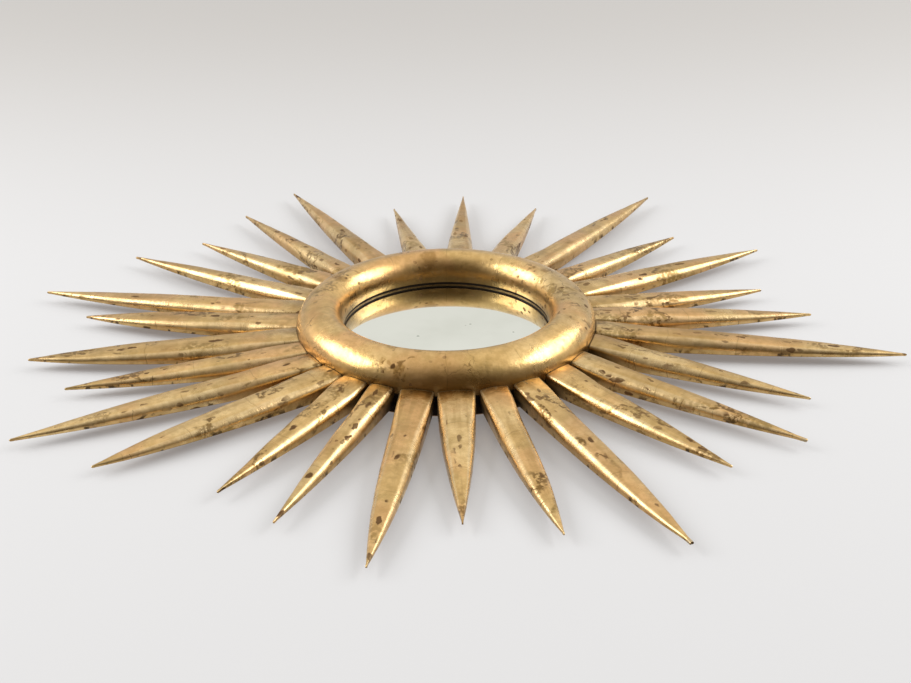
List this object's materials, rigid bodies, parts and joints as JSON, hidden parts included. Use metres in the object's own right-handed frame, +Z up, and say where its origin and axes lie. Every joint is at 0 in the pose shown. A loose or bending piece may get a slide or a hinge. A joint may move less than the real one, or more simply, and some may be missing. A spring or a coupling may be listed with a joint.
{
  "type": "wall mirror",
  "caption": "Round sunburst wall mirror: a gilded, round-topped ring around a flat silvered plate, with carved tapering gilt rays of uneven reach all round it.",
  "frame": {"origin": "centre of the flat rear face of the backboard, flush with the ring's back, where the mirror lies against the wall", "axes": "+Z up as the mirror hangs, -Y out of the mirror's face into the room, +Y into the wall, +X to the right of someone who looks into the mirror"},
  "size_m": [1.0025, 0.061, 0.9371],
  "materials": {
    "gilding": "carved wood under gesso and red bole, with aged, rubbed gold leaf",
    "mirror": "flat silvered glass, faintly green-grey, with a few specks",
    "backboard": "bare, darkened softwood"
  },
  "bodies": {
    "root": {"ring": "gilding", "ray_01": "gilding", "ray_02": "gilding", "ray_03": "gilding", "ray_04": "gilding", "ray_05": "gilding", "ray_06": "gilding", "ray_07": "gilding", "ray_08": "gilding", "ray_09": "gilding", "ray_10": "gilding", "ray_11": "gilding", "ray_12": "gilding", "ray_13": "gilding", "ray_14": "gilding", "ray_15": "gilding", "ray_16": "gilding", "ray_17": "gilding", "ray_18": "gilding", "ray_19": "gilding", "ray_20": "gilding", "ray_21": "gilding", "ray_22": "gilding", "ray_23": "gilding", "ray_24": "gilding", "ray_25": "gilding", "ray_26": "gilding", "ray_27": "gilding", "ray_28": "gilding", "mirror_plate": "mirror", "backboard": "backboard"}
  },
  "joints": []
}
